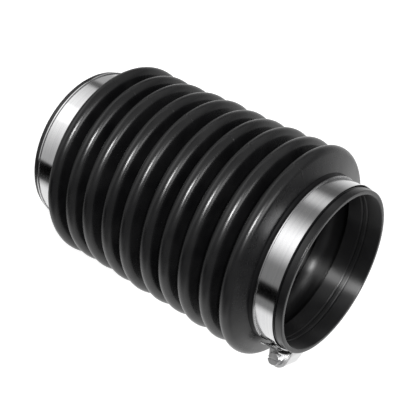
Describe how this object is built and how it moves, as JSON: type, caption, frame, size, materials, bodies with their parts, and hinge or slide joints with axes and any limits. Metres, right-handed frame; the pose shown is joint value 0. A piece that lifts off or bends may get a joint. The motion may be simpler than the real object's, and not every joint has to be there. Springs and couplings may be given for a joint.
{
  "type": "bellows boot",
  "caption": "Moulded rubber bellows boot with a plain collar at each end, each collar held by a steel worm-drive band clamp",
  "frame": {"origin": "middle of the far collar's rim, which is the plane the part stands on", "axes": "+Z along the boot's axis from the far collar to the near mouth, -Y towards the side the picture is taken from, +X to the right of it"},
  "size_m": [0.1292, 0.1292, 0.1903],
  "materials": {
    "rubber": "moulded black rubber with a soft semi-gloss skin",
    "band_steel": "stainless strip with fine lengthwise brushing",
    "housing_steel": "pressed stainless sheet",
    "screw_steel": "plain turned steel"
  },
  "bodies": {
    "boot": {"bellows": "rubber", "near_clamp_band": "band_steel", "near_clamp_housing": "housing_steel", "far_clamp_band": "band_steel", "far_clamp_housing": "housing_steel"},
    "near_screw": {"near_clamp_screw": "screw_steel"},
    "far_screw": {"far_clamp_screw": "screw_steel"}
  },
  "joints": [
    {"name": "near_screw_turn", "type": "hinge", "parent": "boot", "child": "near_screw", "pos_m": [0.0555, 0.01911, 0.1785], "axis": [0.3256, -0.9455, 0], "continuous": true},
    {"name": "far_screw_turn", "type": "hinge", "parent": "boot", "child": "far_screw", "pos_m": [0.04626, 0.03614, 0.0104], "axis": [0.6157, -0.788, 0], "continuous": true}
  ]
}
